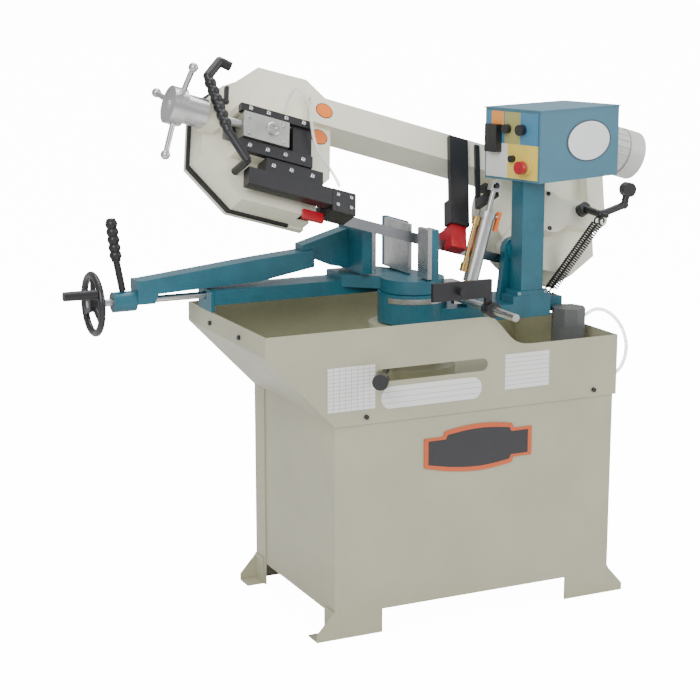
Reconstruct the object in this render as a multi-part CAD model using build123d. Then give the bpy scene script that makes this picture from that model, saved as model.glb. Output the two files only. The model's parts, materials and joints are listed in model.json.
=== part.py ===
from build123d import *
import os
from math import atan2, cos, degrees, pi, radians, sin

# Horizontal mitring band saw on a sheet-metal stand. Millimetres.
# Frame: +X to the operator's right, +Y away from the operator, +Z up.
# The origin is on the floor, in the middle of the stand's footprint.

# ---- stand
stand_length = 820
stand_depth = 520
stand_height = 560
sheet = 3
corner_flange = 66
kick_height = 63
kick_half_length = 275
side_inset = 3
side_foot_gap = 60
foot_reach = 50
foot_width = 55
foot_height = 75
foot_hole = 11

# ---- coolant tray
tray_left = -596
tray_right = 418
tray_half_depth = 264
tray_rim_high = 804
tray_rim_low = 722
tray_knee = 753
tray_floor = 600
slot_left = -301
slot_right = 23
slot_z = 680
slot_height = 33
bolt_radius = 6
badge_bottom = 161
badge_top = 34
tray_ledge = 10

# ---- turntable, bed and vise
swivel_x = -80
swivel_y = -38
pedestal_radius = 115
pedestal_top = 761
ring_radius = 92
ring_bottom = 765
ring_top = 843
hub_radius = 84
hub_top = 880
bed_left = -590
bed_right = -100
bed_front = 80
bed_back = 177
bed_bottom = 824
bed_top = 862
jaw_face = -80
jaw_plate = 12
jaw_bottom = 884
jaw_top = 1015
vise_gap = 78
screw_y = 128
screw_z = 845
screw_radius = 9
screw_end = -125
vise_closing = 78
wheel_x = -900
hand_wheel_radius = 83
lever_x = -131
stop_rod_x = 10
stop_rod_z = 830
stop_rod_radius = 10

# ---- swivelling arm, post and control box
arm_thickness = 38
pivot_x = 212
pivot_z = 935
pivot_boss = 34
shaft_radius = 11
post_left = 191
post_width = 66
post_front = -141
post_back = -84
stand_front = -72
stand_back = -49
post_bottom = 824
box_bottom = 1127
box_top = 1312
box_width = 310
box_depth = 196
box_corner_x = 203
box_corner_y = -200
box_turn = 16

# ---- saw head, in its own frame: x along the blade, y away from the operator, z up the bow
head_raise = 16.5
head_lean = 30
blade_x = -80
blade_y = -38
blade_z = 969
idler_x = -460
drive_x = 406
band_wheel_radius = 147
wheel_z = band_wheel_radius + 24
wheel_width = 28
blade_width = 27
blade_thickness = 0.9
wheel_gap = 0.35
guide_slot = 4
wall = 5
head_front = -20
head_back = 55
cover_depth = 20
beam_bottom = 250
beam_top = 328
beam_front = -40
hinge_y = 60
hinge_z = 383

# ---- lift cylinder
ram_y = -100
ram_foot_x = 52
ram_foot_z = 840
ram_top_x = 129
ram_top_z = 1115
barrel_radius = 20
ram_rod_radius = 7
spring_radius = 10


# ---- where the coolant hose goes back through the tray wall
hose_port = (tray_right + 0.2, -36, 583)


def block(x0, x1, y0, y1, z0, z1):
    """Box between two corners."""
    return Pos((x0 + x1) / 2, (y0 + y1) / 2, (z0 + z1) / 2) * Box(x1 - x0, y1 - y0, z1 - z0)


def bar(start, end, radius):
    """Round bar from one point to another."""
    a, b = Vector(*start), Vector(*end)
    return Plane(origin=a, z_dir=b - a) * Pos(0, 0, (b - a).length / 2) * Cylinder(radius, (b - a).length)


def ring(start, end, radius, bore):
    """Tube from one point to another."""
    return bar(start, end, radius) - bar(start, end, bore)


def slab(points, y0, y1):
    """Outline in X and Z, given a thickness from y0 to y1."""
    face = make_face(Polyline(*[(x, y0, z) for x, z in points], close=True))
    return extrude(face, amount=y1 - y0, dir=(0, 1, 0))


def plate(points, z0, z1):
    """Outline in X and Y, given a thickness from z0 to z1."""
    face = make_face(Polyline(*[(x, y, z0) for x, y in points], close=True))
    return extrude(face, amount=z1 - z0, dir=(0, 0, 1))


def profile(points, x0, x1):
    """Outline in Y and Z, given a thickness from x0 to x1."""
    face = make_face(Polyline(*[(x0, y, z) for y, z in points], close=True))
    return extrude(face, amount=x1 - x0, dir=(1, 0, 0))


def arc_points(x, z, radius, start, end, steps):
    """Points on an arc, as angles in degrees from +X towards +Z."""
    turn = (end - start) / steps
    return [(x + radius * cos(radians(start + turn * i)), z + radius * sin(radians(start + turn * i)))
            for i in range(steps + 1)]


def link(ends, radius, y0, y1):
    """Two equal discs and the web that joins them, along Y."""
    (xa, za), (xb, zb) = ends
    turn = degrees(atan2(zb - za, xb - xa))
    outline = arc_points(xb, zb, radius, turn - 90, turn + 90, 16)
    outline += arc_points(xa, za, radius, turn + 90, turn + 270, 16)
    return slab(outline, y0, y1)


# Head frame: turned up by head_raise about Y, then leaning back by head_lean about the blade line.
raise_angle, lean_angle = radians(head_raise), radians(head_lean)
along = Vector(cos(raise_angle), 0, -sin(raise_angle))
up = Vector(cos(lean_angle) * sin(raise_angle), sin(lean_angle), cos(lean_angle) * cos(raise_angle))
front = along.cross(up)
head = Plane(origin=(blade_x, blade_y, blade_z), x_dir=along, z_dir=up)


def to_head(x, y, z):
    """World point given in the head's frame."""
    offset = Vector(x - blade_x, y - blade_y, z - blade_z)
    return (offset.dot(along), -offset.dot(front), offset.dot(up))


def to_world(x, y, z):
    """Head point given in the world frame."""
    point = Vector(blade_x, blade_y, blade_z) + along * x - front * y + up * z
    return (point.X, point.Y, point.Z)


nodes = {}


def keep(name, shape):
    """Store one sub-part under its node name."""
    nodes[name] = shape


def keep_head(name, shape):
    """Store one sub-part of the head, drawn in the head's frame."""
    nodes[name] = head * shape


# ================================================================ stand and tray

def stand():
    half_x, half_y = stand_length / 2, stand_depth / 2
    for name, side in (("stand_front_panel", -1), ("stand_rear_panel", 1)):
        face = side * half_y
        low, high = sorted((face, face - side * sheet))
        panel = block(-half_x, half_x, low, high, 0, stand_height)
        panel -= block(-kick_half_length, kick_half_length, low - 1, high + 1, -1, kick_height)
        for end in (-1, 1):
            xa, xb = sorted((end * half_x, end * (half_x - sheet)))
            ya, yb = sorted((face, face - side * corner_flange))
            panel += block(xa, xb, ya, yb, 0, stand_height)
        keep(name, panel)
    reach = half_y - corner_flange + 20
    sides = []
    for side in (-1, 1):
        outer = side * (half_x - sheet - 0.2)
        xa, xb = sorted((outer, outer - side * sheet))
        sides.append(block(xa, xb, -reach, reach, side_foot_gap, stand_height))
    keep("stand_side_panels", Compound(sides))


def feet():
    group = []
    half_x, half_y = stand_length / 2, stand_depth / 2
    for sx in (-1, 1):
        for sy in (-1, 1):
            inner, outer = sx * (half_x + 0.2), sx * (half_x + foot_reach)
            xa, xb = sorted((inner, outer))
            ya, yb = sorted((sy * half_y, sy * (half_y - foot_width)))
            base = block(xa, xb, ya, yb, 0, 4)
            xa, xb = sorted((inner, inner + sx * 4))
            upright = block(xa, xb, ya, yb, 0, foot_height)
            gusset_y = sorted((sy * half_y, sy * (half_y - 4)))
            gusset = slab([(inner, 0), (outer, 0), (outer, 20), (inner, foot_height)], *gusset_y)
            hole = Pos(sx * (half_x + foot_reach * 0.6), sy * (half_y - foot_width / 2), 2)
            group.append(base + upright + gusset - hole * Cylinder(foot_hole / 2, 10))
    keep("foot_brackets", Compound(group))


def tray_profile(inset):
    """Side outline of the tray, moved inwards by inset."""
    s_curve = [(150, 722), (128, 724), (106, 732), (88, 746), (72, 764), (56, 782), (42, 796), (28, 804)]
    bottom = [(tray_left + inset, tray_knee + inset * 0.4),
              (-stand_length / 2 + inset * 0.4, stand_height + inset),
              (tray_right - inset, stand_height + inset)]
    if inset:
        return [(tray_left + inset, 900)] + bottom + [(tray_right - inset, 900)]
    return [(tray_left, tray_rim_high)] + bottom + [(tray_right, tray_rim_low)] + s_curve


def tray():
    shell = slab(tray_profile(0), -tray_half_depth, tray_half_depth)
    inner = tray_half_depth - sheet
    hollow = slab(tray_profile(sheet), -inner, inner)
    shell -= hollow & block(-700, 500, -300, 300, tray_floor, 900)
    ledge_x, ledge_y = stand_length / 2 - tray_ledge, stand_depth / 2 - tray_ledge / 2
    shell -= block(-ledge_x, ledge_x, -ledge_y, ledge_y, stand_height - 1, tray_floor - sheet)
    radius = slot_height / 2
    slot = link([(slot_left + radius, slot_z), (slot_right - radius, slot_z)], radius,
                -tray_half_depth - 1, -inner + 1)
    keep("coolant_tray", shell - slot)
    bolts = []
    for x in (-325, 346):
        for side in (-1, 1):
            face = side * (tray_half_depth + 0.1)
            bolts.append(bar((x, face, 579), (x, face + side * 6, 579), bolt_radius))
    for y in (-100, 100):
        bolts.append(bar((tray_left - 0.1, y, 775), (tray_left - 6, y, 775), bolt_radius))
    bolts.append(bar(hose_port, (hose_port[0] + 16, *hose_port[1:]), 9))
    keep("tray_fittings", Compound(bolts))
    keep("front_badge", block(-160, 160, -stand_depth / 2 - 4, -stand_depth / 2 - 0.1,
                              stand_height - badge_bottom, stand_height - badge_top))


def pedestal():
    body = Pos(swivel_x, swivel_y, (tray_floor + pedestal_top) / 2)
    body = body * Cylinder(pedestal_radius, pedestal_top - tray_floor)
    body -= block(-210, 50, -170, 0, 650, 710)
    body -= bar((lever_x, swivel_y, 640), (lever_x, swivel_y, 720), 14)
    keep("pedestal", body)
    pivot = (lever_x, swivel_y)
    knob = (-300, -300)
    stub = bar((*pivot, 652), (*pivot, 708), 13)
    stub += bar((*pivot, slot_z), (knob[0], knob[1], slot_z), 8)
    reach = Vector(knob[0] - pivot[0], knob[1] - pivot[1], 0).normalized()
    start = Vector(knob[0], knob[1], slot_z) + reach * 0.2
    end = start + reach * 34
    stub += bar((start.X, start.Y, start.Z), (end.X, end.Y, end.Z), 20)
    keep("lock_lever", stub)


# ================================================================ bed and vise

def bed():
    hub = Pos(swivel_x, swivel_y, (ring_top + 2 + hub_top) / 2) * Cylinder(hub_radius, hub_top - ring_top - 2)
    rail = block(bed_left, bed_right, bed_front, bed_back, bed_bottom, bed_top)
    rail -= block(bed_left - 1, bed_right - 60, screw_y - 26, screw_y + 26,
                  bed_bottom - 1, screw_z + screw_radius)
    web = plate([(-150, 10), (-20, 10), (-20, 60), (bed_right, bed_back), (-230, bed_back),
                 (-230, bed_front)], ring_top + 2, hub_top - 2)
    stem = bar((swivel_x, swivel_y, pedestal_top), (swivel_x, swivel_y, ring_top + 4), 30)
    nut = block(-330, -292, screw_y - 27, screw_y + 27, bed_bottom + 2, bed_top - 7)
    nut -= bar((-340, screw_y, screw_z), (-280, screw_y, screw_z), screw_radius + 0.2)
    end = block(bed_left - 10, bed_left - 0.1, bed_front + 2, bed_back - 2, 806, bed_top - 1)
    end -= bar((bed_left - 20, screw_y, screw_z), (bed_left + 9, screw_y, screw_z), screw_radius + 2)
    frame = hub + rail + web + stem
    frame -= block(-292, screw_end + vise_closing + 6, screw_y - 13, screw_y + 13,
                   bed_bottom - 1, screw_z + 12)
    keep("vise_bed", Compound([frame + nut, end]))


def jaws():
    back = jaw_face + jaw_plate
    rib = slab([(back, hub_top), (back + 20, hub_top), (back + 14, jaw_top), (back, jaw_top)], 35, 167)
    rib += slab([(back, hub_top), (back + 45, hub_top), (back + 14, jaw_top), (back, jaw_top)], 112, 167)
    foot = block(back, back + 22, -120, -68, hub_top, jaw_top - 3)
    keep("fixed_jaw", Compound([rib, foot]))
    pads = [block(jaw_face, back - 0.1, -123, -66, jaw_bottom, jaw_top),
            block(jaw_face, back - 0.1, -11, 128, jaw_bottom, jaw_top)]
    keep("fixed_jaw_plates", Compound(pads))
    face = jaw_face - vise_gap
    jaw = slab([(face - jaw_plate, hub_top + 3), (face - jaw_plate, 1003), (-330, 958), (-330, 935),
                (-250, 900)], 110, 160)
    jaw += block(face - 40, face - jaw_plate, 20, 170, hub_top + 4, 1003)
    arm = slab([(-771, 899), (-456, 932), (-300, 945), (-300, 900), (-456, 873), (-640, 866), (-735, 862),
                (-745, 838), (-790, 838), (-790, 899)], 100, 160)
    arm += bar((-850, screw_y, screw_z), (-790, screw_y, screw_z), 26)
    arm -= bar((-851, screw_y, screw_z), (-700, screw_y, screw_z), screw_radius + 0.5)
    keep("movable_jaw", jaw + arm)
    keep("movable_jaw_plate", block(face - jaw_plate + 0.1, face, 20, 170, jaw_bottom, 1004))


def vise_drive():
    screw = bar((wheel_x - 16, screw_y, screw_z), (screw_end, screw_y, screw_z), screw_radius)
    keep("vise_screw", screw)
    rim = Pos(wheel_x, screw_y, screw_z) * Rot(0, 90, 0) * Torus(hand_wheel_radius - 9, 9)
    hub = ring((wheel_x - 14, screw_y, screw_z), (wheel_x + 26, screw_y, screw_z), 20, screw_radius + 0.1)
    for angle in (90, 210, 330):
        y, z = cos(radians(angle)), sin(radians(angle))
        reach = hand_wheel_radius - 9
        spoke = bar((wheel_x, screw_y + 15 * y, screw_z + 15 * z),
                    (wheel_x, screw_y + reach * y, screw_z + reach * z), 7)
        rim += spoke
    keep("vise_handwheel", rim + hub)
    y = screw_y - (hand_wheel_radius - 9) * cos(radians(30))
    z = screw_z + (hand_wheel_radius - 9) * sin(radians(30))
    keep("handwheel_grip", bar((wheel_x - 9.5, y, z), (wheel_x - 95, y, z), 12))
    base, tip = (-822, screw_y, screw_z + 28), (-848, screw_y, 1058)
    lever = bar(base, (-836, screw_y, 950), 9) + bar((-836, screw_y, 950), tip, 12)
    for i in range(5):
        z = 965 + 20 * i
        x = -836 - 12 * (z - 950) / 108
        lever += Pos(x, screw_y, z) * Sphere(15.5)
    keep("clamp_lever", lever)


def work_stop():
    rod = bar((stop_rod_x, -110, stop_rod_z), (stop_rod_x, -420, stop_rod_z), stop_rod_radius)
    lug = block(-24, stop_rod_x + 13, -112, -64, ring_top + 3, hub_top - 8)
    lug += block(stop_rod_x - 13, stop_rod_x + 13, -128, -110, stop_rod_z - 15, hub_top - 8)
    lug -= bar((stop_rod_x, -50, stop_rod_z), (stop_rod_x, -140, stop_rod_z), stop_rod_radius + 0.1)
    hub = Pos(swivel_x, swivel_y, 860) * Cylinder(hub_radius + 0.3, 60)
    turn = Pos(swivel_x, swivel_y, 800) * Cylinder(ring_radius + 2, 2 * (ring_top - 800) + 2)
    keep("stop_rod", Compound([rod, lug - hub - turn]))
    stop = slab([(-159, 862), (-159, 908), (9, 908), (9, 862)], -302, -290)
    bush = bar((stop_rod_x, -312, stop_rod_z), (stop_rod_x, -280, stop_rod_z), 20)
    bush += block(-8, 9, -302, -290, 838, 880)
    bush -= bar((stop_rod_x, -320, stop_rod_z), (stop_rod_x, -270, stop_rod_z), stop_rod_radius + 0.2)
    stop += bush
    stop += bar((-84, -302, 884), (-84, -322, 884), 9)
    keep("stop_arm", stop)


# ================================================================ swivelling base of the head

def swivel():
    rim = Pos(swivel_x, swivel_y, (ring_bottom + ring_top) / 2)
    rim = rim * Cylinder(ring_radius, ring_top - ring_bottom)
    arm_top = ring_bottom + arm_thickness
    arm = plate([(-80, -118), (150, -146), (280, -146), (284, -94), (350, -93), (350, -46), (284, -40),
                 (270, 40), (-80, 44)],
                ring_bottom, arm_top)
    arm += block(165, 280, -146, post_back, arm_top - 1, post_bottom)
    bore = bar((swivel_x, swivel_y, ring_bottom - 1), (swivel_x, swivel_y, ring_top + 1), 31)
    lug = block(ram_foot_x - 16, ram_foot_x + 16, ram_y - 28, ram_y + 28, arm_top - 1, ram_foot_z + 15)
    lug -= block(ram_foot_x - 40, ram_foot_x + 40, ram_y - 13, ram_y + 13, arm_top + 4, ram_foot_z + 40)
    pin = bar((ram_foot_x, ram_y - 27, ram_foot_z), (ram_foot_x, ram_y + 27, ram_foot_z), 6)
    keep("swivel_arm", rim + arm + lug + pin - bore)
    scale = Pos(swivel_x, swivel_y, 828) * (Cylinder(ring_radius + 1.5, 14) - Cylinder(ring_radius + 0.1, 20))
    keep("angle_scale", scale & block(-300, 60, -300, -70, 700, 900))
    tall = slab([(pivot_x - 46, arm_top + 0.1), (pivot_x + 46, arm_top + 0.1)]
                + arc_points(pivot_x, pivot_z, pivot_boss, -20, 200, 18), stand_front, stand_back)
    tall -= bar((pivot_x, -80, pivot_z), (pivot_x, 0, pivot_z), shaft_radius + 0.1)
    shaft = bar((pivot_x, stand_front - 1, pivot_z), (pivot_x, -6, pivot_z), shaft_radius)
    shaft += bar((pivot_x, post_back + 1, pivot_z), (pivot_x, stand_front - 0.2, pivot_z), 28)
    keep("pivot_stand", Compound([tall, shaft]))


def control():
    right = post_left + post_width
    post = block(post_left, right, post_front, post_back, post_bottom + 0.1, box_bottom - 0.2)
    post -= block(post_left + 4, right - 4, post_front + 4, post_back - 4, post_bottom + 14, box_bottom - 10)
    post += block(post_left - 14, right + 14, post_front - 4, post_back, post_bottom + 0.1, post_bottom + 12)
    keep("control_post", post)
    place = Pos(box_corner_x, box_corner_y, 0) * Rot(0, 0, box_turn)
    case = block(0, box_width, 0, box_depth, box_bottom, box_top)
    case -= block(2.5, box_width - 2.5, 2.5, box_depth - 2.5, box_bottom + 2.5, box_top - 2.5)
    lid = block(-3, box_width + 3, -3, box_depth + 3, box_top + 0.1, box_top + 3)
    keep("control_box", place * Compound([case, lid]))
    panel = block(-2.2, -0.1, 6, box_depth - 6, box_bottom + 6, box_top - 6)
    face = -2.3
    base = bar((face, 42, 1167), (face - 12, 42, 1167), 20)
    base -= bar((face - 4, 42, 1167), (face - 20, 42, 1167), 9)
    keep("control_panel", place * Compound([panel, base]))

    def dial(name, y, z, radius, length, start=face):
        keep(name, place * bar((start, y, z), (start - length, y, z), radius))

    button = bar((face - 11, 42, 1167), (face - 20, 42, 1167), 8.5)
    keep("estop_button", place * (button + bar((face - 19, 42, 1167), (face - 33, 42, 1167), 17)))
    dial("speed_knob", 60, 1262, 14, 16)
    dial("mode_knob", 112, 1262, 12, 14)
    switch = block(face - 22, face, 134, 176, 1200, 1272)
    lamp = bar((face, 92, 1185), (face - 12, 92, 1185), 9)
    keep("main_switch", place * Compound([switch, lamp]))


# ================================================================ saw head

def cover_outline(grow):
    """Outline of the left wheel housing, with its rounded upper left corner."""
    return [(-625 - grow, 82 - grow), (-625 - grow, 208), (-618 - grow, 238), (-600 - grow, 266 + grow),
            (-574 - grow, 291 + grow), (-540 - grow, 312 + grow), (-476, 374 + grow), (-335, 379 + grow),
            (-262 + grow, 330 + grow), (-262 + grow, 110), (-300 + grow, 70), (-300 + grow, -10 - grow),
            (-509 - grow, -10 - grow)]


def drive_outline(grow):
    """Outline of the drive wheel housing: a round left side and a square right end."""
    round_side = arc_points(drive_x, wheel_z, 165 + grow, 96, 262, 26)
    return round_side + [(500, 14 - grow), (580 + grow, 90), (580 + grow, 290), (555, 331 + grow)]


def shell(outline, y0, y1, face_at_front):
    """Open tray: a flat face and a wall around it."""
    outer = slab(outline(0), y0, y1)
    inner = slab(outline(-wall), y0 + (wall if face_at_front else -1), y1 + (1 if face_at_front else -wall))
    return outer - inner


def bow():
    left = shell(cover_outline, head_front, head_back, True)
    right = shell(drive_outline, head_front, head_back, True)
    beam = block(-330, 330, beam_front, head_back, beam_bottom, beam_top)
    beam -= block(-331, 331, beam_front + wall + 5, head_back + 1, beam_bottom + wall, beam_top - wall)
    beam -= block(-331, -262, head_front, head_back + 1, 0, 400)
    beam -= slab(drive_outline(0), head_front, head_back + 1)
    frame = left + right + beam
    passage = block(-300, -255, head_front + wall, head_back + 1, beam_bottom + wall, beam_top - wall)
    passage += block(230, 345, head_front + wall, head_back + 1, beam_bottom + wall, beam_top - wall)
    frame -= passage
    frame -= block(-340, -290, -18, 18, -40, 60)
    frame -= block(230, 404, -17, 17, -10, 60)
    rails = block(-548, -340, -58, head_front + 1, 205, 226) + block(-548, -340, -58, head_front + 1, 96, 128)
    frame += rails
    frame += block(-640, -600, -75, head_front + wall, 145, 200) - bar((-650, -60, 172), (-590, -60, 172), 11)
    frame -= block(-570, -400, -30, head_front + wall + 1, 140, 200)
    boss_at = to_head(pivot_x, -6, pivot_z)
    boss = bar(to_head(pivot_x, stand_back + 0.5, pivot_z), to_head(pivot_x, -4, pivot_z), 20)
    arm = link([(boss_at[0], boss_at[2] + 4), (330, 116)], 20, head_front - 5, head_front + wall - 1)
    room = bar((drive_x, head_front + wall, wheel_z), (drive_x, head_back, wheel_z), band_wheel_radius + 6)
    frame += (boss - room) + arm
    frame -= bar(to_head(pivot_x, -60, pivot_z), to_head(pivot_x, 40, pivot_z), shaft_radius + 0.1)
    frame -= bar(to_head(pivot_x, -120, pivot_z), to_head(pivot_x, stand_back + 0.5, pivot_z),
                 pivot_boss + 60)
    frame -= bar((drive_x, -60, wheel_z), (drive_x, 0, wheel_z), 24)
    frame += bar((-429.5, hinge_y, hinge_z), (-380.5, hinge_y, hinge_z), 4.5)
    frame += block(-424, -386, 46, 59, 381.6, 386) + block(-424, -386, 44, head_back, 374, 386)
    keep_head("bow_frame", frame)


def covers():
    left = slab(cover_outline(4), head_back + 0.3, head_back + cover_depth)
    left -= slab(cover_outline(-6), head_back - 1, head_back + cover_depth - 3)
    left -= bar((-430, hinge_y, hinge_z), (-380, hinge_y, hinge_z), 5)
    for x in (-452, -379.5):
        left += bar((x, hinge_y, hinge_z), (x + 22, hinge_y, hinge_z), 4.5)
    keep_head("wheel_cover", left)
    trim = slab(cover_outline(8), head_back - 8, head_back + 0.1)
    trim -= slab(cover_outline(0.4), head_back - 9, head_back + 1)
    trim -= block(-345, 0, -200, 200, -200, 500)
    trim -= block(-432, -378, head_back - 10, head_back + 1, 350, 400)
    keep_head("cover_trim", trim)
    right = slab(drive_outline(3), head_back + 0.3, head_back + cover_depth)
    right -= slab(drive_outline(-6), head_back - 1, head_back + cover_depth - 3)
    middle = block(-254, 240, head_back + 0.3, head_back + 4, beam_bottom + 2, beam_top - 2)
    keep_head("drive_cover", Compound([right, middle - slab(drive_outline(3.5), head_back, head_back + 10)]))


def band_wheel(x):
    """Spoked wheel that carries the blade, with its axis along Y."""
    half = wheel_width / 2
    tyre_radius = band_wheel_radius - wheel_gap
    tyre = ring((x, -half, wheel_z), (x, half, wheel_z), tyre_radius, band_wheel_radius - 16)
    web = bar((x, -5, wheel_z), (x, 5, wheel_z), band_wheel_radius - 15)
    for i in range(5):
        angle = radians(72 * i + 18)
        hx, hz = x + 82 * cos(angle), wheel_z + 82 * sin(angle)
        web -= bar((hx, -20, hz), (hx, 20, hz), 24)
    hub = bar((x, -half + 1, wheel_z), (x, half + 3, wheel_z), 30)
    return tyre + web + hub - bar((x, -40, wheel_z), (x, 40, wheel_z), 12.1)


def band(start, end):
    """Flat strip of blade between two sections, each given as (x, y, z, twist)."""
    faces = []
    for x, y, z, twist in (start, end):
        turned = (0, cos(radians(twist)), sin(radians(twist)))
        section = Plane(origin=(x, y, z), x_dir=turned, z_dir=(1, 0, 0))
        faces.append(section * Rectangle(blade_width, blade_thickness))
    return loft(faces, ruled=True)


def blade():
    half = blade_width / 2
    mid = band_wheel_radius + blade_thickness / 2
    outer, inner = band_wheel_radius + blade_thickness, band_wheel_radius
    loops = []
    for x, side in ((idler_x, -1), (drive_x, 1)):
        hoop = ring((x, -half, wheel_z), (x, half, wheel_z), outer, inner)
        span = block(x - 300, x, -40, 40, -100, 500) if side < 0 else block(x, x + 300, -40, 40, -100, 500)
        loops.append(hoop & span)
    top = block(idler_x, drive_x, -half, half, wheel_z + inner, wheel_z + outer)
    lift, lean = half * cos(lean_angle), -half * sin(lean_angle)
    low = wheel_z - mid
    left_x, right_x = -278, 134
    twist = -(90 - head_lean)
    runs = []
    count = 4
    for x_end, x_guide in ((idler_x, left_x), (drive_x, right_x)):
        for i in range(count):
            a, b = i / count, (i + 1) / count
            s0 = (x_end + (x_guide - x_end) * a, lean * a, low + (lift - low) * a, twist * a)
            s1 = (x_end + (x_guide - x_end) * b, lean * b, low + (lift - low) * b, twist * b)
            runs.append(band(s0, s1) if s0[0] < s1[0] else band(s1, s0))
    middle = band((left_x, lean, lift, twist), (right_x, lean, lift, twist))
    whole = loops[0] + top + loops[1]
    for piece in runs + [middle]:
        whole += piece
    keep_head("saw_blade", whole)


def tension():
    keep_head("idler_wheel", band_wheel(idler_x))
    axle = bar((idler_x, -60, wheel_z), (idler_x, 26, wheel_z), 12)
    slide = block(-540, -413, -80, -31, 132, 202)
    slide += block(-500, -420, -32, -22, 146, 194)
    axle += bar((idler_x, 19, wheel_z), (idler_x, 25, wheel_z), 20)
    slide -= bar((idler_x, -90, wheel_z), (idler_x, 0, wheel_z), 12.1)
    keep_head("tension_slide", Compound([slide, axle]))
    gibs = [block(-546, -342, -74, -58.2, 205, 226), block(-546, -342, -74, -58.2, 96, 128)]
    gibs += [block(-395, -342, -66, head_front - 0.2, 133, 204)]
    keep_head("slide_gibs", Compound(gibs))
    arms = bar((-740, -60, 172), (-541, -60, 172), 10.4)
    arms += bar((-642, -60, 172), (-700, -60, 172), 37) + bar((-700, -60, 172), (-737, -60, 172), 47)
    for angle in (40, 160, 280):
        c, s = cos(radians(angle)), sin(radians(angle))
        tip = (-728, -60 + 128 * c, 172 + 128 * s)
        arms += bar((-718, -60 + 40 * c, 172 + 40 * s), tip, 7)
        arms += Pos(*tip) * Sphere(12)
    keep_head("tension_hub", arms)


def pull_handle():
    grip = bar((-532, -90, 60), (-588, -90, 128), 11) + bar((-588, -90, 128), (-648, -90, 262), 12)
    grip += Pos(-588, -90, 128) * Sphere(12) + Pos(-648, -90, 262) * Sphere(12)
    grip += bar((-648, -90, 262), (-618, -90, 312), 12) + Pos(-618, -90, 312) * Sphere(12)
    grip += bar((-618, -90, 312), (-588, -90, 306), 12)
    for i in range(6):
        a = i / 5
        grip += Pos(-596 - 44 * a, -90, 146 + 98 * a) * Sphere(15)
    grip += bar((-532, -90, 60), (-532, head_front - 0.1, 60), 10)
    grip += block(-636, -590, -96, -84, 200, 208)
    keep_head("pull_handle", grip)
    keep_head("handle_trigger", block(-600, -592, -96, -84, 208.3, 246))


def guides():
    keep_head("guide_holder", block(-470, -309, -70, head_front - 0.2, 56, 94))
    keep_head("guide_bar", block(-520, -284, -75, -46, 8, 54))
    left = block(-283, -216, -75, -8, -6, 55)
    left += block(-276, -222, -8.5, 22, 22, 52)
    slot = Plane(origin=(-80, -6.75, 11.7), x_dir=(1, 0, 0), z_dir=(0, -cos(lean_angle), -sin(lean_angle)))
    clearing = slot * Box(700, 30, guide_slot)
    below = slot * Pos(0, -30, 0) * Box(700, 60, guide_slot)
    keep_head("left_guide_head", left - clearing - below)
    keep_head("left_blade_guard", block(-342, -284, -30, -20.5, -24, 2))
    right = block(92, 139, -46, -8, -4, 60)
    right += block(96, 135, -8.5, 22, 22, 60)
    keep_head("right_guide_head", right - clearing - below)
    arm = block(86, 144, beam_front - 14, beam_front - 0.2, 120, 318)
    arm += block(86, 144, beam_front - 14, -20, 60.2, 130)
    keep_head("right_guide_arm", arm)


def drive():
    shaft = bar((drive_x, -50, wheel_z), (drive_x, 26, wheel_z), 12)
    shaft += bar((drive_x, 19, wheel_z), (drive_x, 25, wheel_z), 20)
    keep_head("drive_wheel", Compound([band_wheel(drive_x), shaft]))
    case = link([(drive_x, wheel_z), (570, 200)], 38, -55, head_front - 0.2)
    case += bar((drive_x, -55, wheel_z), (drive_x, head_front - 0.2, wheel_z), 62)
    case += block(530, 600, -55, 50, 337, 520) + block(542, 600, -55, head_front - 0.2, 190, 338)
    case -= bar((drive_x, -51, wheel_z), (drive_x, 0, wheel_z), 12.3)
    keep_head("drive_gearbox", case)
    body = bar((600.2, 0, 460), (700, 0, 460), 66)
    for i in range(20):
        angle = radians(18 * i)
        c, s = cos(angle), sin(angle)
        body += bar((606, 66 * c, 460 + 66 * s), (694, 66 * c, 460 + 66 * s), 3)
    fan_cover = bar((700.2, 0, 460), (752, 0, 460), 70) - bar((699, 0, 460), (748, 0, 460), 67)
    keep_head("motor", Compound([body, fan_cover]))


def spring_set():
    """Arm that carries the springs, its clamping knob, and the two counterbalance springs."""
    upper, elbow, tip = (486, -63, 1013), (562, -63, 1035), (572, -63, 1077)
    arm = bar((515, -55.2, 198), (515, -80, 198), 18)
    arm += bar((515, -74, 198), to_head(*upper), 10)
    arm += bar(to_head(*upper), to_head(*elbow), 10) + bar(to_head(*elbow), to_head(*tip), 10)
    arm += Pos(*to_head(*upper)) * Sphere(12) + Pos(*to_head(*elbow)) * Sphere(12)
    arm += bar(to_head(tip[0], -76, tip[2]), to_head(tip[0], -50, tip[2]), 20)
    arm += bar(to_head(upper[0], -96, upper[2]), to_head(upper[0], -47, upper[2]), 6)
    keep_head("spring_arm", arm)
    keep("springs", Compound([bar((328, y, 822), (471, y, 993), spring_radius) for y in (-84, -60)]))


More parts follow.
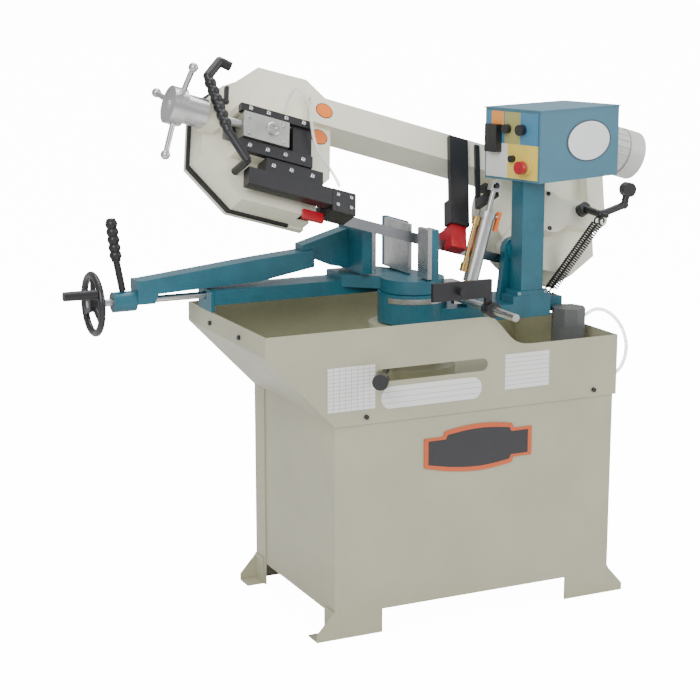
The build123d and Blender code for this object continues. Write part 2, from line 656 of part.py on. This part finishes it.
def cylinder():
    lug = block(172, 186, -48, beam_front - 0.2, 126, 316)
    lug += block(172, 186, -132, beam_front - 0.2, 126, 152) + block(142, 186, -132, -112, 134, 156)
    pin = bar(to_head(ram_top_x, ram_y - 14, ram_top_z), to_head(ram_top_x, ram_y + 24, ram_top_z), 5)
    keep_head("cylinder_bracket", lug + pin)
    axis = Vector(ram_top_x - ram_foot_x, 0, ram_top_z - ram_foot_z)
    length = axis.length
    place = Plane(origin=(ram_foot_x, ram_y, ram_foot_z), x_dir=(0, 1, 0), z_dir=axis)
    barrel = Pos(0, 0, 113) * Cylinder(barrel_radius, 174)
    barrel += Pos(0, 0, 208) * Cylinder(23, 16)
    barrel -= Pos(0, 0, 135) * Cylinder(ram_rod_radius + 3, 180)
    barrel += Pos(0, 0, 10) * Box(22, 22, 34)
    barrel -= Rot(0, 90, 0) * Cylinder(6.2, 60)
    barrel += Pos(0, -24.9, 208) * Rot(90, 0, 0) * Cylinder(5, 7.8)
    keep("cylinder_barrel", place * barrel)
    valve = Pos(0, 30, 0) * (Pos(0, 0, 120) * Cylinder(6, 120) + Pos(0, 0, 186) * Cylinder(9.8, 22)
                             + Pos(0, 0, 60) * Cylinder(9.8, 24))
    keep("flow_valve", place * valve)
    rod = Pos(0, 0, (90 + length - 14) / 2) * Cylinder(ram_rod_radius, length - 14 - 90)
    eye = Pos(0, 0, length) * (Box(18, 30, 28) - Rot(0, 90, 0) * Cylinder(9.5, 60))
    keep("cylinder_rod", place * (rod + eye))
    keep("valve_lever", place * Pos(0, -34, 196) * Box(10, 10, 52))


def pump():
    body = Pos(340, -142, (tray_floor + 735) / 2) * Cylinder(45, 735 - tray_floor - 0.4)
    cap = Pos(340, -142, 735) * extrude(RegularPolygon(46, 8), amount=47)
    keep("coolant_pump", body + cap)


def round_route(points):
    """Straight runs joined by arcs as large as the runs allow."""
    vectors = [Vector(*p) for p in points]
    radii = []
    for a, b, c in zip(vectors, vectors[1:], vectors[2:]):
        turn = radians((b - a).get_angle(c - b))
        radii.append(0.45 * min((b - a).length, (c - b).length) / max(0.02, sin(turn / 2) / cos(turn / 2)))
    return FilletPolyline(*points, radius=radii), radii


def hose(name, points, radius):
    path, radii = round_route(points)
    start = Plane(origin=path @ 0, z_dir=path % 0)
    tube = sweep(start * Circle(radius), path=path)
    print(name, "radii", [round(r) for r in radii], "length", round(path.length),
          "volume ratio", round(tube.volume / (pi * radius ** 2 * path.length), 3))
    keep(name, tube)


pump_hose_points = [(387, -138, 748), (414, -132, 763), (452, -124, 766), (500, -112, 744), (546, -98, 700),
                    (574, -82, 646), (578, -68, 600), (566, -58, 566), (540, -48, 546), (506, -42, 546),
                    (480, -38, 560), (458, -36.5, 577), (435.6, -36, 583)]
head_hose_points = [(-403, -26, 262), (-404, -52, 290), (-392, -74, 320), (-370, -84, 290), (-356, -86, 250),
                    (-352, -84, 205), (-340, -82, 160), (-316, -80, 122), (-284, -78, 96), (-262, -72, 66)]


def hoses():
    hose("pump_hose", pump_hose_points, 5)
    hose("head_hose", [to_world(*p) for p in head_hose_points], 4)


stand()
feet()
tray()
pedestal()
bed()
jaws()
vise_drive()
work_stop()
swivel()
control()
bow()
covers()
blade()
tension()
pull_handle()
guides()
drive()
spring_set()
cylinder()
pump()
hoses()

os.makedirs("parts", exist_ok=True)
for name, shape in nodes.items():
    export_step(shape, f"parts/{name}.step")
print(len(nodes), "nodes")
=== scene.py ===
import json
import math

import bpy
import numpy as np
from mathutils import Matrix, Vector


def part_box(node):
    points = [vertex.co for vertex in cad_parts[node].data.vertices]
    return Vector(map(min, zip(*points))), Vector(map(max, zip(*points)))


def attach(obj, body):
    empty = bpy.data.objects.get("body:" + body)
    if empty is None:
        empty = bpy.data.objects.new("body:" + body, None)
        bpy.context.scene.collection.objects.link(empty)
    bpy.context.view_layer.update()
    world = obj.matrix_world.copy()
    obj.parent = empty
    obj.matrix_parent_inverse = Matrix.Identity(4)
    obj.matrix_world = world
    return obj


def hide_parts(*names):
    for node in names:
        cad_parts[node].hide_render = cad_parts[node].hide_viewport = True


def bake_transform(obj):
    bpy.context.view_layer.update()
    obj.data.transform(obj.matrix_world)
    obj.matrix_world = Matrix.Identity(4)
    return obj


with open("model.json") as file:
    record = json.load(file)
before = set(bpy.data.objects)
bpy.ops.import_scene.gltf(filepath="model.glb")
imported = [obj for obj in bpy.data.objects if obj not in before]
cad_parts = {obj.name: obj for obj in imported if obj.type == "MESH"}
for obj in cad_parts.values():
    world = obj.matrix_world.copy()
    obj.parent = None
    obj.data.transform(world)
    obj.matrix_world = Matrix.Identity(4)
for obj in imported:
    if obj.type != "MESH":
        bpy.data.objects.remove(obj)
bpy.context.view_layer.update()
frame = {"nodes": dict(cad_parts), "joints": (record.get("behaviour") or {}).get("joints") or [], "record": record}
nodes = frame["nodes"]
joints = {j["name"]: j for j in frame["joints"]}
print("frame loaded:", len(nodes), "CAD nodes")


# ---------- places that the other pieces are measured from
def arr(values):
    return np.array([float(v) for v in values])


headAlong = arr(joints["left_guide_slide"]["axis"])
headFront = arr(joints["drive_wheel_spin"]["axis"])
headUp = np.cross(headFront, headAlong)
driveCentre = arr(joints["drive_wheel_spin"]["pos_m"])
headPlace = {"driveX": 0.406, "wheelZ": 0.171}
worldX, worldY, worldZ = np.eye(3)


def headPoint(x, y, z):  # from the head's own frame: along the blade, away from the operator, up the bow
    out = driveCentre + (x - headPlace["driveX"]) * headAlong - y * headFront
    return out + (z - headPlace["wheelZ"]) * headUp


def nodeBox(name):
    low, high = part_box(name)
    return arr(low), arr(high)


# ---------- mesh makers
def newPiece(name, points, faces, material, body=None, smooth=True):
    mesh = bpy.data.meshes.new(name)
    mesh.from_pydata(points.reshape(-1, 3).tolist(), [], faces)
    mesh.polygons.foreach_set("use_smooth", [smooth] * len(mesh.polygons))
    mesh.materials.append(material)
    mesh.update()
    piece = bpy.data.objects.new(name, mesh)
    bpy.context.scene.collection.objects.link(piece)
    if body:
        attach(piece, body)
    return piece


def gridFaces(rows, columns):  # quads of a closed tube: rows along it, columns round it
    r = np.arange(rows - 1)[:, None] * columns
    a = np.arange(columns)[None, :]
    b = (a + 1) % columns
    return np.stack([r + a, r + b, r + columns + b, r + columns + a], -1).reshape(-1, 4).tolist()


def tube(path, radius, sides=12):  # a ring of points round each point of the path
    tangent = np.gradient(path, axis=0)
    tangent /= np.linalg.norm(tangent, axis=1)[:, None]
    side = np.cross(tangent, arr((0.31, 0.87, 0.38)))
    side /= np.linalg.norm(side, axis=1)[:, None]
    other = np.cross(tangent, side)
    angle = np.linspace(0, 2 * np.pi, sides, endpoint=False)
    ring = side[:, None] * np.cos(angle)[None, :, None] + other[:, None] * np.sin(angle)[None, :, None]
    points = path[:, None] + ring * np.reshape(radius, (-1, 1, 1))
    faces = gridFaces(len(path), sides)
    faces += [list(range(sides))[::-1], list(range((len(path) - 1) * sides, len(path) * sides))]
    return points, faces


def spun(profile, centre, axis, sides=32):  # profile of (distance along, radius), turned round the axis
    axis = axis / np.linalg.norm(axis)
    side = np.cross(axis, arr((0.3, 0.2, 0.9)))
    side /= np.linalg.norm(side)
    other = np.cross(axis, side)
    angle = np.linspace(0, 2 * np.pi, sides, endpoint=False)
    ring = side[None, :] * np.cos(angle)[:, None] + other[None, :] * np.sin(angle)[:, None]
    profile = np.array(profile, float)
    points = centre + profile[:, 0, None, None] * axis + profile[:, 1, None, None] * ring[None]
    faces = gridFaces(len(profile), sides)
    faces += [list(range(sides))[::-1], list(range((len(profile) - 1) * sides, len(profile) * sides))]
    return points, faces


def joinParts(parts):  # several (points, faces) as one
    points, faces, count = [], [], 0
    for p, f in parts:
        p = p.reshape(-1, 3)
        faces += [[i + count for i in face] for face in f]
        points.append(p)
        count += len(p)
    return np.concatenate(points), faces


def sheetPlate(outline, centre, right, up, thickness):  # a flat outline with a thickness towards the viewer
    out = np.cross(right, up)
    base = centre + outline[:, 0, None] * right + outline[:, 1, None] * up
    points = np.stack([base, base + out * thickness])
    n = len(outline)
    faces = gridFaces(2, n)
    faces += [list(range(n))[::-1], list(range(n, 2 * n))]
    return points, faces


def roundBox(width, height, corner, steps=7):  # outline of a rectangle with round corners
    turn = np.linspace(0, np.pi / 2, steps)
    parts = []
    for i, (sx, sy) in enumerate(((1, 1), (-1, 1), (-1, -1), (1, -1))):
        angle = turn + i * np.pi / 2
        parts.append(np.stack([sx * (width / 2 - corner) + corner * np.cos(angle),
                               sy * (height / 2 - corner) + corner * np.sin(angle)], -1))
    return np.concatenate(parts)


def oval(width, height, steps=48):
    angle = np.linspace(0, 2 * np.pi, steps, endpoint=False)
    return np.stack([width / 2 * np.cos(angle), height / 2 * np.sin(angle)], -1)


# ---------- materials
class Wire:  # a socket with arithmetic: every operator adds its Math node
    def __init__(self, finish, socket):
        self.finish, self.socket = finish, socket

    def calc(self, operation, a, b):
        return self.finish.node("ShaderNodeMath", {"operation": operation}, {0: a, 1: b})

    def __add__(self, other):
        return self.calc("ADD", self, other)

    def __sub__(self, other):
        return self.calc("SUBTRACT", self, other)

    def __rsub__(self, other):
        return self.calc("SUBTRACT", other, self)

    def __mul__(self, other):
        return self.calc("MULTIPLY", self, other)

    def __gt__(self, other):
        return self.calc("GREATER_THAN", self, other)

    def __lt__(self, other):
        return self.calc("LESS_THAN", self, other)

    __radd__, __rmul__ = __add__, __mul__


class Finish:  # one material and its nodes
    def __init__(self, name):
        self.material = bpy.data.materials.new(name)
        self.material.use_nodes = True
        self.tree = self.material.node_tree
        self.tree.nodes.clear()
        self.shader = self.tree.nodes.new("ShaderNodeBsdfPrincipled")
        output = self.tree.nodes.new("ShaderNodeOutputMaterial")
        self.tree.links.new(self.shader.outputs[0], output.inputs[0])
        self.place = self.node("ShaderNodeTexCoord", {}, {}, "Object")

    def node(self, kind, settings, inputs, output=0):
        made = self.tree.nodes.new(kind)
        for key, value in settings.items():
            if key == "stops":
                for i, (at, colour) in enumerate(value):
                    stop = made.color_ramp.elements[i] if i < 2 else made.color_ramp.elements.new(at)
                    stop.position, stop.color = at, (*colour, 1)
            else:
                setattr(made, key, value)
        for key, value in inputs.items():
            self.feed(made.inputs[key], value)
        return Wire(self, made.outputs[output])

    def feed(self, socket, value):
        if isinstance(value, Wire):
            self.tree.links.new(value.socket, socket)
        elif isinstance(value, (tuple, list)) and len(value) == 3 and socket.type == "RGBA":
            socket.default_value = (*value, 1)
        else:
            socket.default_value = value

    def set(self, **values):
        names = {"colour": "Base Color", "rough": "Roughness", "metal": "Metallic", "normal": "Normal",
                 "coat": "Coat Weight", "coatRough": "Coat Roughness", "alpha": "Alpha", "ior": "IOR"}
        for key, value in values.items():
            self.feed(self.shader.inputs[names[key]], value)
        return self

    def noise(self, scale, detail=3.0, stretch=(1, 1, 1), roughness=0.5):
        vector = self.place
        if stretch != (1, 1, 1):
            vector = self.node("ShaderNodeMapping", {}, {"Vector": self.place, "Scale": stretch})
        return self.node("ShaderNodeTexNoise", {}, {"Vector": vector, "Scale": scale, "Detail": detail,
                                                    "Roughness": roughness})

    def blend(self, mask, a, b):
        return self.node("ShaderNodeMix", {"data_type": "RGBA"}, {0: mask, 6: a, 7: b}, 2)

    def bump(self, height, distance, strength=1.0):
        return self.node("ShaderNodeBump", {},
                         {"Height": height, "Distance": distance, "Strength": strength})

    def along(self, direction):  # distance of a point along a direction, in metres
        return self.node("ShaderNodeVectorMath", {"operation": "DOT_PRODUCT"},
                         {0: self.place, 1: tuple(float(v) for v in direction)}, 1)

    def ramp(self, value, low, high):
        return self.node("ShaderNodeMapRange", {}, {0: value, 1: low, 2: high, 3: 0.0, 4: 1.0})

    def stripes(self, value, pitch, thickness):  # 1 on lines that repeat every pitch
        cell = self.node("ShaderNodeMath", {"operation": "FRACT"}, {0: value * (1 / pitch)})
        return cell < thickness / pitch


def shaded(colour, factor):
    return tuple(min(1.0, c * factor) for c in colour)


def paint(name, colour, rough=0.42, peel=0.00006, wear=0.06, coat=0.15):  # sprayed: peel and smudges
    f = Finish(name)
    cloud = f.ramp(f.noise(5.0, 4.0), 0.35, 0.7)
    tone = f.blend(cloud, shaded(colour, 1 - wear), shaded(colour, 1 + wear * 0.6))
    smudge = f.ramp(f.noise(22.0, 6.0, roughness=0.65), 0.56, 0.74)
    tone = f.blend(smudge * 0.35, tone, shaded(colour, 0.86))
    grain = f.noise(420.0, 2.0)
    f.set(colour=tone, rough=f.ramp(f.noise(9.0, 5.0), 0.2, 0.8) * 0.12 + (rough - 0.06), coat=coat,
          coatRough=0.25, normal=f.bump(grain, peel))
    return f.material


def casting(name, colour, rough=0.45):  # painted sand casting: pebbled skin and soft hollows
    f = Finish(name)
    tone = f.blend(f.ramp(f.noise(14.0, 5.0), 0.3, 0.7), shaded(colour, 0.82), shaded(colour, 1.12))
    chips = f.ramp(f.noise(60.0, 6.0, roughness=0.7), 0.68, 0.72)
    tone = f.blend(chips * 0.3, tone, (0.09, 0.09, 0.09))
    skin = f.noise(150.0, 4.0) * 0.7 + f.noise(34.0, 3.0)
    f.set(colour=tone, rough=f.ramp(f.noise(20.0, 4.0), 0.2, 0.8) * 0.18 + (rough - 0.08), coat=0.3,
          coatRough=0.2, normal=f.bump(skin, 0.0005))
    return f.material


def steel(name, colour, rough=0.28, stretch=(1, 1, 1), scratch=0.00002):  # machined, with tool lines
    f = Finish(name)
    lines = f.noise(260.0, 3.0, stretch)
    stain = f.ramp(f.noise(16.0, 5.0), 0.4, 0.75)
    f.set(colour=f.blend(stain, colour, shaded(colour, 0.72)), metal=1.0,
          rough=lines * 0.22 + stain * 0.12 + (rough - 0.12), normal=f.bump(lines, scratch))
    return f.material


def plastic(name, colour, rough=0.4, grain=0.00008):  # moulded plastic with a fine texture
    f = Finish(name)
    tone = f.blend(f.ramp(f.noise(30.0, 4.0), 0.3, 0.8), shaded(colour, 0.85), shaded(colour, 1.15))
    f.set(colour=tone, rough=f.noise(50.0, 3.0) * 0.14 + (rough - 0.07),
          normal=f.bump(f.noise(600.0, 2.0), grain))
    return f.material


def clearHose(name):
    f = Finish(name)
    f.set(colour=f.blend(f.ramp(f.noise(30.0, 3.0), 0.3, 0.7), (0.78, 0.81, 0.80), (0.88, 0.90, 0.89)),
          rough=0.12, alpha=f.ramp(f.noise(25.0, 2.0), 0.2, 0.9) * 0.15 + 0.55, coat=0.6)
    return f.material


def ruled(name, ground, ink, pitch, thickness, right, up, origin):  # a plate printed with plain ruled lines
    f = Finish(name)
    across = f.along(right) - float(np.dot(origin, right))
    rise = f.along(up) - float(np.dot(origin, up))
    columns = f.stripes(across, pitch[0], thickness) if pitch[0] else 0.0
    rows = f.stripes(rise, pitch[1], thickness)
    mask = rows
    if pitch[0]:
        mask = f.node("ShaderNodeMath", {"operation": "MAXIMUM"}, {0: columns, 1: rows})
    f.set(colour=f.blend(mask * 0.8, ground, ink), rough=f.noise(40.0, 3.0) * 0.1 + 0.32)
    return f.material


colours = {"stand": (0.42, 0.41, 0.285), "head": (0.80, 0.78, 0.62), "teal": (0.008, 0.105, 0.150),
           "box": (0.055, 0.175, 0.245), "black": (0.013, 0.013, 0.015), "red": (0.42, 0.01, 0.02),
           "orange": (0.82, 0.17, 0.015), "steel": (0.62, 0.62, 0.61), "brass": (0.68, 0.45, 0.16)}
standPaint = paint("stand_paint", colours["stand"])
headPaint = paint("head_paint", colours["head"], 0.38)
tealCasting = casting("teal_casting", colours["teal"])
boxPaint = paint("box_paint", colours["box"], 0.35, 0.00009)
pumpPaint = paint("pump_paint", (0.10, 0.105, 0.105), 0.45)
motorPaint = paint("motor_paint", (0.62, 0.62, 0.58), 0.4)
blackPaint = paint("black_paint", colours["black"], 0.38)
blackPlastic = plastic("black_plastic", colours["black"])
redPlastic = plastic("red_plastic", colours["red"], 0.3)
orangePlastic = plastic("orange_plastic", colours["orange"], 0.3)
sealRubber = plastic("seal_rubber", (0.012, 0.012, 0.012), 0.6)
brightSteel = steel("bright_steel", colours["steel"])
turnedSteel = steel("turned_steel", (0.70, 0.70, 0.69), 0.22, (6, 1, 1))
bladeSteel = steel("blade_steel", (0.36, 0.37, 0.39), 0.3, (1, 8, 8))
slideIron = steel("slide_iron", (0.55, 0.55, 0.53), 0.42)
brassMetal = steel("valve_brass", colours["brass"], 0.25)
hoseClear = clearHose("hose_clear")
bySlot = {"stand_paint": standPaint, "head_paint": headPaint, "casting_blue": tealCasting,
          "box_blue": boxPaint, "black_steel": blackPaint, "black_plastic": blackPlastic,
          "red_plastic": redPlastic,
          "orange_plastic": orangePlastic, "bright_steel": brightSteel, "blade_steel": bladeSteel,
          "brass": brassMetal, "pump_paint": pumpPaint, "motor_paint": motorPaint, "clear_hose": hoseClear,
          "black_rubber": sealRubber, "slide_cast": slideIron, "badge_plate": blackPaint}
panelAxis = arr(joints["estop_press"]["axis"])
panelRight = np.cross(panelAxis, worldZ)  # to the viewer's right when facing the control panel


def panelMaterial():  # printed control plate: coloured zones, no lettering
    f = Finish("panel_print")
    low, high = nodeBox("control_panel")
    z = (f.along(worldZ) - float(low[2])) * (1 / float(high[2] - low[2]))
    spread = [float(np.dot(arr(p), panelRight)) for p in ((low[0], high[1], 0), (high[0], low[1], 0))]
    u = (f.along(panelRight) - min(spread)) * (1 / (max(spread) - min(spread)))
    tone = f.blend(z > 0.52, (0.72, 0.55, 0.10), (0.055, 0.20, 0.33))
    tone = f.blend((z > 0.52) * (u > 0.36) * (u < 0.66), tone, (0.35, 0.33, 0.12))
    tone = f.blend((z > 0.78) * (u > 0.1) * (u < 0.34), tone, (0.78, 0.30, 0.05))
    tone = f.blend((z < 0.52) * (u < 0.42), tone, (0.70, 0.70, 0.66))
    f.set(colour=tone, rough=f.noise(60.0, 3.0) * 0.1 + 0.3)
    return f.material


recordSlots = {s["node"]: s["material_slot"] for s in frame["record"]["subparts"]}
for name, node in nodes.items():
    finish = panelMaterial() if name == "control_panel" else bySlot[recordSlots[name]]
    node.data.materials.clear()
    node.data.materials.append(finish)
print("materials on the CAD nodes")


# ---------- camera, light and floor
floorGlow = 14  # added where the camera looks at the floor, for a white background
skyGlow = 14


def studio():
    camera = bpy.data.objects.new("camera", bpy.data.cameras.new("camera"))
    camera.location = (-2.1872, -4.0790, 1.6857)
    camera.rotation_euler = (math.radians(77.57), 0, math.radians(-25.476))
    camera.data.lens = 90.36
    camera.data.sensor_width = 36
    bpy.context.scene.collection.objects.link(camera)
    bpy.context.scene.camera = camera
    floorSize = 30.0
    mesh = bpy.data.meshes.new("floor")
    mesh.from_pydata([(-floorSize, -floorSize, 0), (floorSize, -floorSize, 0), (floorSize, floorSize, 0),
                      (-floorSize, floorSize, 0)], [], [(0, 1, 2, 3)])
    floor = bpy.data.objects.new("floor", mesh)
    ground = Finish("floor_paint")
    ground.set(colour=(0.86, 0.86, 0.86), rough=0.9)
    seen = ground.node("ShaderNodeLightPath", {}, {})
    ground.feed(ground.shader.inputs["Emission Color"], (1.0, 1.0, 1.0))
    ground.feed(ground.shader.inputs["Emission Strength"], seen * floorGlow)
    mesh.materials.append(ground.material)
    bpy.context.scene.collection.objects.link(floor)
    world = bpy.data.worlds.new("studio")
    world.use_nodes = True
    world.node_tree.nodes["Background"].inputs[0].default_value = (0.97, 0.98, 1.0, 1)
    sky = world.node_tree.nodes["Background"]
    direct = world.node_tree.nodes.new("ShaderNodeLightPath")
    strength = world.node_tree.nodes.new("ShaderNodeMath")
    strength.operation = "MULTIPLY_ADD"
    world.node_tree.links.new(direct.outputs["Is Camera Ray"], strength.inputs[0])
    strength.inputs[1].default_value = skyGlow
    strength.inputs[2].default_value = 0.68
    world.node_tree.links.new(strength.outputs[0], sky.inputs[1])
    bpy.context.scene.world = world
    lamps = (("key_light", (-3.2, -3.4, 3.6), 2.6, 190), ("fill_light", (3.4, -2.6, 2.4), 2.4, 80),
             ("top_light", (0.2, 0.6, 4.2), 3.0, 120))
    for name, place, size, power in lamps:
        light = bpy.data.lights.new(name, "AREA")
        light.size, light.energy = size, power
        lamp = bpy.data.objects.new(name, light)
        lamp.location = place
        aim = -arr(place) + arr((0, 0, 0.8))
        lamp.rotation_euler = (math.atan2(math.hypot(aim[0], aim[1]), -aim[2]), 0,
                               math.atan2(aim[1], aim[0]) - math.pi / 2)
        bpy.context.scene.collection.objects.link(lamp)


studio()
print("camera and lights ready")

# ---------- hoses
hoses = {
    "pump": {"node": "pump_hose", "body": "base", "radius": 0.005, "length": 0.481,
             "stiffness": "medium", "lay": "hanging", "route": [
        (0.387, -0.138, 0.748), (0.414, -0.132, 0.763), (0.452, -0.124, 0.766), (0.500, -0.112, 0.744),
        (0.546, -0.098, 0.700), (0.574, -0.082, 0.646), (0.578, -0.068, 0.600), (0.566, -0.058, 0.566),
        (0.540, -0.048, 0.546), (0.506, -0.042, 0.546), (0.480, -0.038, 0.560), (0.458, -0.0365, 0.577),
        (0.4356, -0.036, 0.583)]},
    "head": {"node": "head_hose", "body": "head", "radius": 0.004, "length": 0.362,
             "stiffness": "limp", "lay": "loose", "route": [
        tuple(float(v) for v in headPoint(*p)) for p in (
            (-0.403, -0.026, 0.262), (-0.404, -0.052, 0.290), (-0.392, -0.074, 0.320),
            (-0.370, -0.084, 0.290), (-0.356, -0.086, 0.250), (-0.352, -0.084, 0.205),
            (-0.340, -0.082, 0.160), (-0.316, -0.080, 0.122), (-0.284, -0.078, 0.096),
            (-0.262, -0.072, 0.066))]}}


def hose(name, spec):
    curve = bpy.data.curves.new(name + "_hose_line", "CURVE")
    curve.dimensions = "3D"
    line = curve.splines.new("NURBS")
    line.points.add(len(spec["route"]) - 1)
    for point, place in zip(line.points, spec["route"]):
        point.co = (*place, 1)
    line.order_u = 3
    line.use_endpoint_u = True
    line.resolution_u = 8
    curve.bevel_depth = spec["radius"]
    curve.bevel_resolution = 4
    curve.use_fill_caps = True
    curve.materials.append(hoseClear)
    piece = bpy.data.objects.new(name + "_hose_line", curve)
    bpy.context.scene.collection.objects.link(piece)
    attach(piece, spec["body"])
    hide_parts(spec["node"])
    2 * spec["radius"]


for name, spec in hoses.items():
    hose(name, spec)
print("hoses laid")

# ---------- counterbalance springs
spring = {"coil": 0.0100, "wire": 0.0024, "turns": 32, "stepsPerTurn": 16, "hookLength": 0.014,
          "hookWidth": 0.007}


def springs():
    low, high = nodeBox("springs")
    radius = spring["coil"] - spring["wire"]
    made = []
    for y in (low[1] + spring["coil"], high[1] - spring["coil"]):
        start, end = arr((low[0] + 0.008, y, low[2] + 0.008)), arr((high[0] - 0.008, y, high[2] - 0.008))
        axis = end - start
        length = np.linalg.norm(axis)
        axis /= length
        side = worldY
        other = np.cross(axis, side)
        t = np.linspace(0, 1, spring["turns"] * spring["stepsPerTurn"])
        angle = 2 * np.pi * spring["turns"] * t
        coil = start + t[:, None] * axis * length
        coil = coil + radius * (np.cos(angle)[:, None] * side + np.sin(angle)[:, None] * other)
        made.append(tube(coil, spring["wire"], 8))
        for end_, out in ((start, -axis), (end, axis)):
            sweep = np.linspace(0, 1.5 * np.pi, 18)[:, None]
            loop = end_ + out * spring["hookLength"] * (0.6 - 0.6 * np.cos(sweep))
            loop = loop + other * spring["hookWidth"] * np.sin(sweep)
            made.append(tube(loop, spring["wire"], 8))
    piece = newPiece("counterbalance_springs", *joinParts(made), blackPaint)
    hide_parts("springs")
    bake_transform(piece)


springs()

# ---------- badge and plates on the stand and tray
badge = {"width": 0.318, "height": 0.125, "rim": 0.012, "thickness": 0.003}


def badges():
    low, high = nodeBox("front_badge")
    centre = (low + high) / 2
    centre[1] = high[1] - 0.0002
    w, h = badge["width"] / 2, badge["height"] / 2
    top = np.stack([np.linspace(0.62 * w, -0.62 * w, 15),
                    h - 0.010 + 0.010 * np.cos(np.linspace(-1, 1, 15) * np.pi / 2)], -1)
    left = arr((-w, h - 0.024)), arr((-w, -h + 0.024))
    outline = np.concatenate([top, [arr((-0.66 * w, h - 0.024)), *left], -top,
                              [arr((0.66 * w, -h + 0.024)), -left[0], -left[1],
                               arr((0.66 * w, h - 0.024))]])
    outline[:, 1] = np.clip(outline[:, 1], -h, h)
    parts = [sheetPlate(outline, centre, worldX, worldZ, badge["thickness"])]
    rim = newPiece("badge_rim", *joinParts(parts), paint("badge_orange", (0.60, 0.10, 0.02), 0.3), "base",
                   False)
    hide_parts("front_badge")
    inner = outline * [1 - badge["rim"] / w, 1 - badge["rim"] / h]
    lift = centre - worldY * badge["thickness"]
    face = newPiece("badge_face", *sheetPlate(inner, lift, worldX, worldZ, 0.0006),
                    paint("badge_dark", (0.022, 0.022, 0.024), 0.3), "base", False)


plates = {
    "table_plate": {"x": (-0.432, -0.300), "z": (0.598, 0.712), "pitch": (0.0165, 0.0095), "corner": 0.002},
    "notice_plate": {"x": (-0.283, 0.005), "z": (0.592, 0.650), "pitch": (0, 0.0145), "corner": 0.028},
    "data_plate": {"x": (0.074, 0.206), "z": (0.606, 0.700), "pitch": (0, 0.0118), "corner": 0.002}}


def trayPlates():
    front = nodeBox("coolant_tray")[0][1]
    for name, spec in plates.items():
        width, height = spec["x"][1] - spec["x"][0], spec["z"][1] - spec["z"][0]
        centre = arr((sum(spec["x"]) / 2, front - 0.0001, sum(spec["z"]) / 2))
        origin = centre - worldX * width / 2 - worldZ * height / 2
        finish = ruled(name + "_print", (0.78, 0.78, 0.76), (0.25, 0.25, 0.25), spec["pitch"], 0.0011,
                       worldX, worldZ, origin)
        outline = roundBox(width, height, spec["corner"])
        piece = newPiece(name, *sheetPlate(outline, centre, worldX, worldZ, 0.0006), finish, "base", False)


badges()
trayPlates()


# ---------- plates on the control box and the head
boxSign = {"corner": (0.203, -0.200), "along": 0.190, "rise": 0.100, "width": 0.176, "height": 0.110}


def boxPlate():
    low, high = nodeBox("control_box")
    right = panelAxis
    front = np.cross(worldZ, panelAxis)
    centre = arr((*boxSign["corner"], 0)) + right * boxSign["along"]
    centre = centre + worldZ * (low[2] + boxSign["rise"]) - front * 0.0002
    outline = oval(boxSign["width"], boxSign["height"])
    ring = newPiece("box_oval", *sheetPlate(outline, centre, right, worldZ, 0.0008),
                    paint("oval_rim", (0.05, 0.07, 0.10), 0.35), "swivel", False)
    lift = centre - front * 0.0008
    face = newPiece("box_oval_face", *sheetPlate(outline * 0.93, lift, right, worldZ, 0.0005),
                    paint("oval_white", (0.82, 0.83, 0.84), 0.35), "swivel", False)


def headStickers():
    for i, (x, y, z) in enumerate(((-0.292, -0.0402, 0.290), (-0.296, -0.0202, 0.222))):
        centre = headPoint(x, y, z)
        rim = newPiece(f"sticker_rim_{i}", *sheetPlate(oval(0.050, 0.042), centre, headAlong, headUp, 0.0005),
                       paint(f"sticker_dark_{i}", (0.03, 0.03, 0.03), 0.4), "head", False)
        lift = centre + headFront * 0.0005
        disc = newPiece(f"sticker_{i}", *sheetPlate(oval(0.046, 0.038), lift, headAlong, headUp, 0.0004),
                        paint(f"sticker_orange_{i}", (0.85, 0.20, 0.02), 0.4), "head", False)


boxPlate()
headStickers()
print("plates and stickers fitted")

# ---------- screws and bolts
def sockets(name, places, axis, body, material, across=0.006, height=0.004, sides=16):
    parts = [spun([(0.0, across), (height * 0.8, across), (height, across * 0.85), (height, across * 0.5),
                   (height * 0.45, across * 0.5)], place, axis, sides) for place in places]
    piece = newPiece(name, *joinParts(parts), material, body, False)
    return piece


gibFace = -0.0742
sockets("gib_screws",
        [headPoint(x, gibFace, z) for x in (-0.52, -0.47, -0.42, -0.37) for z in (0.2155, 0.112)],
        headFront, "head", turnedSteel)
sockets("holder_screws", [headPoint(x, -0.0702, 0.075) for x in (-0.45, -0.40, -0.34)], headFront, "head",
        turnedSteel)
sockets("guide_screws", [headPoint(x, -0.0752, z) for x in (-0.268, -0.230) for z in (0.012, 0.040)],
        headFront, "left_guide", turnedSteel, 0.005)
sockets("slide_screws", [headPoint(x, -0.0802, z) for x in (-0.525, -0.428) for z in (0.145, 0.190)],
        headFront, "tension_slide", turnedSteel, 0.0055)
sockets("gear_case_screws", [headPoint(0.406 + 0.052 * math.cos(a), -0.0552, 0.171 + 0.052 * math.sin(a))
                             for a in np.radians(np.arange(90, 330, 60))], headFront, "head", blackPaint)
sockets("slide_axle_cap", [headPoint(-0.46, -0.0802, 0.171)], headFront, "tension_slide", turnedSteel,
        0.017, 0.006, 32)
postLow, postHigh = nodeBox("control_post")
postSides = (postLow[0] + 0.007, postHigh[0] - 0.007)
sockets("post_screws", [arr((x, postLow[1] + 0.0035, postLow[2] + 0.006)) for x in postSides],
        -worldY, "swivel", turnedSteel, 0.004)
print("screws fitted")

print("scene complete")
